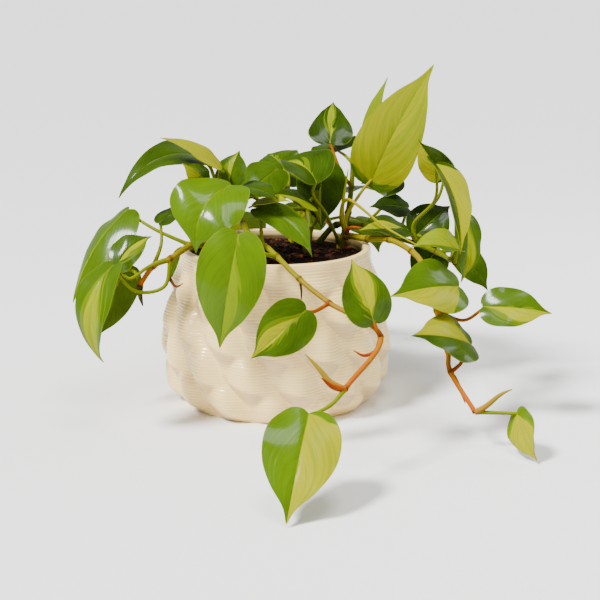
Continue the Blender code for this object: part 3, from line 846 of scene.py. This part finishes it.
def pot_radius(z):
    """The pot's outer radius at a height, without its waves."""
    points = (
        (0.0, FOOT_RADIUS),
        (0.10, FOOT_RADIUS + 0.0085),
        (0.25, BELLY_RADIUS - 0.0012),
        (0.42, BELLY_RADIUS),
        (0.60, BELLY_RADIUS - 0.0022),
        (0.78, BELLY_RADIUS - 0.0078),
        (0.90, RIM_RADIUS + 0.0010),
        (1.0, RIM_RADIUS),
    )
    share = z / POT_HEIGHT
    span = next(i for i in range(1, len(points)) if share <= points[i][0] or i == len(points) - 1)
    low, high = points[span - 1][0], points[span][0]
    return smooth_curve([Vector((r, 0)) for _, r in points], (span - 1 + (share - low) / (high - low)) / 7).x


def pot_wave(angle, z):
    """How far the wall stands out: diamond pillows, steeper below, that fade out at the rim and the foot."""
    turn = angle + math.pi / 2
    up = math.tau * (z - FRONT_CREST) / WAVE_PITCH + turn
    up += 0.35 * math.cos(2 * up)
    falling = math.sqrt(math.cos((WAVES_AROUND * turn + up) / 2) ** 2 + 0.005)
    rising = math.sqrt(math.cos((WAVES_AROUND * turn - up) / 2) ** 2 + 0.03)
    fade = min(1, max(0, (POT_HEIGHT - z) / 0.030)) * min(1, 0.35 + z / 0.014)
    return WAVE_HEIGHT * fade * (2 * falling * (0.35 + 0.65 * rising) - 1)


def wall_profile(pitch, depth):
    """The outside of the wall from the foot to the shoulder: rounded ribs with narrow grooves."""
    ribs = int((POT_HEIGHT - LIP) / pitch)
    profile = []
    for i in range(4 * ribs + 1):
        z = i * pitch / 4
        bulge = math.sqrt(abs(math.sin(math.pi * i / 4)))
        profile.append((pot_radius(z) - depth * (1 - bulge), z))
    return profile


class PLANT_OT_pot(bpy.types.Operator):
    """Turns the ribbed pot and pushes its wall out into waves"""

    bl_idname = "plant.pot"
    bl_label = "Pot"

    def execute(self, context):
        settings = context.scene.pot_settings
        outer = wall_profile(settings.rib_pitch, settings.rib_depth)
        lip = [
            (RIM_RADIUS - LIP + LIP * math.cos(turn), POT_HEIGHT - LIP + LIP * math.sin(turn))
            for turn in (math.pi * i / 12 for i in range(1, 6))
        ]
        inner_lip = [
            (RIM_RADIUS - POT_WALL + LIP - LIP * math.cos(turn), POT_HEIGHT - LIP + LIP * math.sin(turn))
            for turn in (math.pi * i / 12 for i in range(6, -1, -1))
        ]
        inner = [
            (RIM_RADIUS - POT_WALL, INNER_SHOULDER),
            (BELLY_RADIUS - POT_WALL - 0.004, INNER_BELLY),
            (FOOT_RADIUS - POT_WALL, POT_FLOOR + INNER_FOOT_ROUND),
            (FOOT_RADIUS - POT_WALL - INNER_FOOT_ROUND, POT_FLOOR),
        ]
        profile = [(0, 0), *outer, *lip, *inner_lip, *inner, (0, POT_FLOOR)]
        pot = turned("ribbed_pot", profile, settings.sides)
        inside = pot.data.attributes.new("inside", "FLOAT", "POINT")
        overhang_shade = pot.data.attributes.new("overhang_shade", "FLOAT", "POINT")
        for vertex in pot.data.vertices:
            x, y, z = vertex.co
            radius = math.hypot(x, y)
            within = radius <= pot_radius(min(z, POT_HEIGHT)) - 0.5 * POT_WALL
            inside.data[vertex.index].value = within
            if not within:
                uneven = 0.00012 * noise.noise(Vector((x * 40, y * 40, z * 700)))
                uneven += 0.0004 * noise.noise(Vector((x * 25, y * 25, z * 25)))
                turn = math.atan2(y, x)
                # The wall's slope, which sets the painted shade under the pillows
                slope = (pot_wave(turn, z + MM) - pot_wave(turn, z - MM)) / (2 * MM)
                overhang_shade.data[vertex.index].value = slope
                grown = 1 + (pot_wave(turn, z) + uneven) / radius
                vertex.co = (x * grown, y * grown, z)
        dress(pot, clay_finish(settings), "pot")
        return {"FINISHED"}


def soil_top(x, y):
    radius = math.hypot(x, y) / RIM_RADIUS
    lumps = 0.0005 * math.sin(x * 310 + 1) * math.cos(y * 270 + 2)
    return POT_HEIGHT - SOIL_BELOW_RIM + SOIL_CROWN * (1 - radius * radius) + lumps


class PLANT_OT_potting_mix(bpy.types.Operator):
    """Fills the pot with potting mix that has a crumbly top"""

    bl_idname = "plant.potting_mix"
    bl_label = "Potting Mix"

    def execute(self, context):
        inside = RIM_RADIUS - POT_WALL - SOIL_GAP
        top = POT_HEIGHT - SOIL_BELOW_RIM
        rings = 44
        profile = [
            (0, POT_FLOOR + SOIL_GAP),
            (FOOT_RADIUS - POT_WALL - INNER_FOOT_ROUND - 2 * SOIL_GAP, POT_FLOOR + SOIL_GAP),
            (FOOT_RADIUS - POT_WALL - SOIL_GAP, POT_FLOOR + INNER_FOOT_ROUND + SOIL_GAP),
            (BELLY_RADIUS - POT_WALL - 0.0045, INNER_BELLY),
            (inside - SOIL_GAP, INNER_SHOULDER),
            *((inside * (1 - i / rings), top) for i in range(rings + 1)),
        ]
        mix = turned("crumbly_mix", profile, 128)
        for vertex in mix.data.vertices:
            x, y, z = vertex.co
            if abs(z - top) < 1e-5:
                crumb = noise.fractal(Vector((x, y, 0)) * 260, 0.9, 2.1, 4)
                vertex.co.z = soil_top(x, y) + 0.0007 * crumb
        dress(mix, mix_finish(context.scene.pot_settings), "potting_mix", 60)
        return {"FINISHED"}


def chip_shape(name, size, draw):
    """A chip of bark: a bevelled block with its corners knocked about."""
    clear_selection()
    bpy.ops.mesh.primitive_cube_add(size=1, scale=size)
    chip = bpy.context.object
    chip.name = name
    bpy.ops.object.transform_apply(location=False, rotation=False, scale=True)
    with editing():
        bpy.ops.mesh.bevel(offset=0.13, segments=1, affect="EDGES")
    for vertex in chip.data.vertices:
        vertex.co += Vector([draw.uniform(-0.07, 0.07) for _ in range(3)])
    return chip


class PLANT_OT_bark_chips(bpy.types.Operator):
    """Strews bark chips over the potting mix"""

    bl_idname = "plant.bark_chips"
    bl_label = "Bark Chips"

    def execute(self, context):
        settings = context.scene.pot_settings
        draw = random.Random(11)
        shapes = [
            chip_shape("flat_chip", (1.0, 0.6, 0.28), draw),
            chip_shape("long_chip", (1.2, 0.4, 0.3), draw),
            chip_shape("lump", (0.8, 0.7, 0.5), draw),
        ]
        chips = []
        for i in range(settings.chips):
            radius = CHIPS_REACH * math.sqrt(draw.random())
            angle = draw.uniform(0, math.tau)
            x, y = radius * math.cos(angle), radius * math.sin(angle)
            size = draw.uniform(*CHIP_SIZES)
            chip = copied(shapes[i % 3])
            turn = Matrix.Rotation(draw.uniform(0, math.tau), 4, "Z")
            lean = Matrix.Rotation(draw.gauss(0, 0.35), 4, "X") @ Matrix.Rotation(draw.gauss(0, 0.35), 4, "Y")
            place = Matrix.Translation((x, y, soil_top(x, y) + 0.12 * size))
            chip.data.transform(place @ turn @ lean @ Matrix.Scale(size, 4))
            shade = draw.random() ** 2
            mark(chip, "shade", [shade] * len(chip.data.vertices))
            chips.append(chip)
        for shape in shapes:
            bpy.data.objects.remove(shape)
        bark = join("bark_chips", chips)
        dress(bark, bark_finish(settings), "potting_mix", 25)
        return {"FINISHED"}


class Blade:
    """Where a leaf's mid surface lies, in millimetres."""

    def __init__(self, leaf):
        self.leaf = leaf
        self.base = Vector(leaf.base)
        chord = Vector(leaf.tip) - self.base
        self.length = chord.length
        self.half = leaf.width / 2
        self.axis = chord / self.length
        face = Vector(leaf.face)
        self.face = (face - self.axis * face.dot(self.axis)).normalized()
        self.side = self.axis.cross(self.face)
        self.spread = 2 * math.atan(2 * leaf.bow)
        self.bend_radius = self.length / (2 * math.sin(self.spread))

    def normal(self, along):
        angle = self.spread * (2 * along - 1)
        return self.face * math.cos(angle) + self.axis * math.sin(angle)

    def place(self, along, across, lift=0):
        """The place a share of the length along and of half the width across, lifted off the blade."""
        leaf = self.leaf
        angle = self.spread * (2 * along - 1)
        forward = self.length / 2 + self.bend_radius * math.sin(angle)
        up = self.bend_radius * (math.cos(angle) - math.cos(self.spread))
        across *= 1 - leaf.taper * 6.75 * along**2 * (1 - along)
        sideways = self.half * across + leaf.bend * self.length * 4 * along * (1 - along)
        hollow = (CUP + RIPPLE * math.sin(RIPPLES * along + 2 * across)) * across**2
        rise = self.half * (leaf.rise * abs(across) - hollow) + lift
        risen = self.face * up + self.normal(along) * rise
        return self.base + self.axis * forward + self.side * sideways + risen


def flat_blade():
    """A flat leaf, a unit long and a unit to either side, with the midrib along Y."""
    clear_selection()
    bpy.ops.mesh.primitive_grid_add(x_subdivisions=16, y_subdivisions=30, size=2, calc_uvs=False)
    blade = bpy.context.object
    blade.name = "flat_blade"
    mesh = blade.data
    rim = mesh.attributes.new("rim", "FLOAT", "POINT")
    for vertex in mesh.vertices:
        x, y, _ = vertex.co
        share = math.copysign(abs(x) ** COLUMN_CROWD, x)
        down = (y + 1) / 2
        reach, spread = smooth_curve(LEAF_EDGE, down)
        root = down**ROW_CROWD
        vertex.co = (spread * share, root + (reach - root) * abs(share), 0)
        rim.data[vertex.index].value = abs(share)
    with editing():
        bpy.ops.mesh.remove_doubles(threshold=1e-4)
    layer = mesh.uv_layers.new(name="blade")
    for loop in mesh.loops:
        x, y, _ = mesh.vertices[loop.vertex_index].co
        layer.data[loop.index].uv = (0.5 + x / 2, y)
    return blade


def leaf_piece(flat, leaf, look, seed, thickness):
    """A copy of the flat leaf, bent into place and given its thickness and its own colouring."""
    piece = copied(flat)
    mesh = piece.data
    blade = Blade(leaf)
    rims = mesh.attributes["rim"].data
    for vertex in mesh.vertices:
        across, along, _ = vertex.co
        rim = rims[vertex.index].value
        flutter = FLUTTER * blade.half * rim**3 * math.sin(FLUTTERS * along + 4 * across + seed)
        groove = MIDRIB_GROOVE * max(0, 1 - rim / 0.02) * (1 - 0.7 * along)
        vertex.co = blade.place(along, across, flutter - groove) * MM
    middle = [vertex.co.copy() for vertex in mesh.vertices]
    pick(piece)
    bpy.ops.object.modifier_add(type="SOLIDIFY")
    piece.modifiers[0].thickness = thickness
    piece.modifiers[0].offset = 0
    bpy.ops.object.modifier_apply(modifier=piece.modifiers[0].name)
    half_way = len(middle) // 2
    above = (mesh.vertices[half_way].co - middle[half_way]).dot(blade.normal(0.5)) > 0
    first, second = (0, 1) if above else (1, 0)
    count = len(mesh.vertices)
    facts = {name: [getattr(look, name)] * count for name in ("minus", "plus", "green", "yellow", "specks")}
    facts["seed"] = [seed] * count
    facts["under"] = [first] * len(middle) + [second] * (count - len(middle))
    for name, values in facts.items():
        mark(piece, name, values)
    return piece


def rod(name, rings):
    """A round closed rod through rings of place, radius and colour, in millimetres."""
    clear_selection()
    bpy.ops.curve.primitive_nurbs_path_add()
    path = bpy.context.object
    path.name = name
    path.data.splines.clear()
    line = path.data.splines.new("POLY")
    line.points.add(len(rings) - 1)
    for point, (place, radius, _) in zip(line.points, rings):
        point.co = (*(place * MM), 1)
        point.radius = radius
    path.data.bevel_depth = MM
    path.data.bevel_resolution = 2
    path.data.use_fill_caps = True
    bpy.ops.object.convert(target="MESH")
    made = bpy.context.object
    close_up(made)
    tint = made.data.attributes.new("tint", "FLOAT_COLOR", "POINT")
    for vertex in made.data.vertices:
        place = vertex.co / MM
        nearest = min(rings, key=lambda ring: (ring[0] - place).length_squared)
        # Painted shade: each ring's colour is lighter on top and darker underneath
        shade = 0.7 + 0.3 * vertex.normal.z
        tint.data[vertex.index].color = (*(part * shade for part in nearest[2]), 1)
    return made


def mixed(start, end, share):
    return tuple(a + (b - a) * share for a, b in zip(start, end))


def stepped(points, steps):
    """Steps along a smooth curve, so many from point to point: each a share of the way and its place."""
    count = steps * (len(points) - 1)
    return [(i / count, smooth_curve(points, i / count)) for i in range(count + 1)]


def stem_rings(stem, tint):
    """The rings of a stem, swollen and scarred at its nodes."""
    nodes = [Vector(point) for point in stem.points[1:]]
    rings = [(Vector(stem.points[0]) - Vector((0, 0, ROOT_DEPTH)), stem.start, tint[0])]
    for share, place in stepped(stem.points, 16):
        off = min((place - node).length for node in nodes)
        swell = 1 + NODE_SWELL * math.exp(-((off / NODE_LENGTH) ** 2))
        radius = (stem.start + (stem.end - stem.start) * share) * swell
        scar = 0.9 * math.exp(-((off / SCAR_LENGTH) ** 2))
        rings.append((place, radius, mixed(mixed(*tint, share**2.5), NODE_SCAR, scar)))
    return rings


def petiole_rings(stem, leaf, tint):
    """The rings of a petiole, from inside the stem to the underside of the blade and on as its midrib."""
    blade = Blade(leaf)
    under = blade.place(GRIP, 0, -0.7)
    rings = []
    for share, place in stepped((stem.points[leaf.node], *leaf.way, under), 7):
        flare = 1.15 - 0.3 * share + 0.25 * math.exp(-((share / 0.1) ** 2))
        rings.append((place, PETIOLE_RADIUS * flare, mixed(*tint, share)))
    for i in range(1, MIDRIB_RINGS + 1):
        along = GRIP + MIDRIB_STEP * i
        radius = MIDRIB_RADIUS * (1 - 0.75 * i / MIDRIB_RINGS)
        rings.append((blade.place(along, 0, -0.35 - 0.3 * radius), radius, tint[1]))
    return rings


def spike_rings(stem, spike, tint):
    """The rings of a sheath, root or growing tip, that swell a little and end in a point."""
    rings = []
    for share, place in stepped((stem.points[spike.node], *spike.points), 8):
        radius = 0.3 + (spike.radius - 0.3) * (1 - share**2)
        rings.append((place, radius, mixed(*tint, share)))
    return rings


class PLANT_OT_leafy_stems(bpy.types.Operator):
    """Grows each stem with its petioles, sheaths, growing tips and leaves"""

    bl_idname = "plant.leafy_stems"
    bl_label = "Leafy Stems"

    def execute(self, context):
        settings = context.scene.plant_settings
        flat = flat_blade()
        waxy = leaf_finish(settings)
        skin = stalk_finish()
        grown = 0
        for name, stem in STEMS.items():
            blades = []
            stalks = [rod(f"{name}_rod", stem_rings(stem, TINTS[STEM_TINTS[name]]))]
            for leaf, look in zip(stem.leaves, LOOKS[name], strict=True):
                grown += 1
                blades.append(leaf_piece(flat, leaf, look, 0.173 * grown, settings.blade))
                stalks.append(rod(f"{name}_petiole_{grown}", petiole_rings(stem, leaf, TINTS[look.stalk])))
            for spike, tint in zip(stem.spikes, SPIKE_TINTS.get(name, ()), strict=True):
                stalks.append(rod(f"{name}_{tint}", spike_rings(stem, spike, TINTS[tint])))
            dress(join(f"{name}_leaves", blades), waxy, name)
            dress(join(f"{name}_stalks", stalks), skin, name)
        bpy.data.objects.remove(flat)
        return {"FINISHED"}


def soft_light(name, place, size, power):
    """A square soft light that looks at the middle of the plant."""
    clear_selection()
    aim = (Vector(PLANT_MIDDLE) - Vector(place)).to_track_quat("-Z", "Y").to_euler()
    bpy.ops.object.light_add(type="AREA", location=place, rotation=aim)
    light = bpy.context.object
    light.name = name
    light.data.size = size
    light.data.energy = power


class PLANT_OT_stage(bpy.types.Operator):
    """Lays the floor, sets the lights and puts up the camera"""

    bl_idname = "plant.stage"
    bl_label = "Stage"

    def execute(self, context):
        settings = context.scene.stage_settings
        clear_selection()
        bpy.ops.mesh.primitive_plane_add(size=400, location=(0, 0, 0))
        floor = context.object
        floor.name = "floor"
        ground = Finish("pale_floor")
        cloud = ground.noise(ground.place(), 3)
        colour = ground.blend(cloud * 0.04, settings.floor, FLOOR_CLOUD)
        ground.surface(Base_Color=colour, Roughness=0.8)
        floor.data.materials.append(ground.material)

        world = bpy.data.worlds.new("studio")
        context.scene.world = world
        world.use_nodes = True
        sky = world.node_tree.nodes["Background"]
        sky.inputs["Color"].default_value = (1, 1, 1, 1)
        sky.inputs["Strength"].default_value = settings.sky
        clear_selection()
        aim = Vector(WINDOW_WAY).to_track_quat("-Z", "Y").to_euler()
        bpy.ops.object.light_add(type="SUN", location=(-0.6, -0.6, 1.0), rotation=aim)
        window = context.object
        window.name = "window"
        window.data.energy = settings.window
        window.data.angle = WINDOW_WIDTH
        soft_light("overhead", OVERHEAD_PLACE, 0.35, settings.overhead)
        soft_light("side", SIDE_PLACE, 0.30, settings.overhead * 0.4)

        clear_selection()
        bpy.ops.object.camera_add(location=CAMERA_PLACE, rotation=(math.pi / 2 - CAMERA_DOWN, 0, 0))
        camera = context.object
        camera.data.sensor_width = 36
        camera.data.lens = CAMERA_LENS
        camera.data.dof.use_dof = False
        context.scene.camera = camera
        return {"FINISHED"}


class VIEW3D_PT_potted_plant(bpy.types.Panel):
    bl_label = "Potted Plant"
    bl_space_type = "VIEW_3D"
    bl_region_type = "UI"
    bl_category = "Plant"

    def draw(self, context):
        scene = context.scene
        for settings in (scene.pot_settings, scene.plant_settings, scene.stage_settings):
            box = self.layout.box()
            for name in settings.__annotations__:
                box.prop(settings, name)
        for operator in OPERATORS:
            self.layout.operator(operator.bl_idname)


OPERATORS = (PLANT_OT_pot, PLANT_OT_potting_mix, PLANT_OT_bark_chips, PLANT_OT_leafy_stems, PLANT_OT_stage)
SETTINGS = {
    "pot_settings": PotSettings,
    "plant_settings": PlantSettings,
    "stage_settings": StageSettings,
}


def register():
    for made in (*SETTINGS.values(), *OPERATORS, VIEW3D_PT_potted_plant):
        bpy.utils.register_class(made)
    for name, group in SETTINGS.items():
        setattr(bpy.types.Scene, name, PointerProperty(type=group))


def unregister():
    for name in SETTINGS:
        delattr(bpy.types.Scene, name)
    for made in reversed((*SETTINGS.values(), *OPERATORS, VIEW3D_PT_potted_plant)):
        bpy.utils.unregister_class(made)


def main():
    register()
    bpy.ops.plant.pot()
    bpy.ops.plant.potting_mix()
    bpy.ops.plant.bark_chips()
    bpy.ops.plant.leafy_stems()
    bpy.ops.plant.stage()


if __name__ == "__main__":
    main()
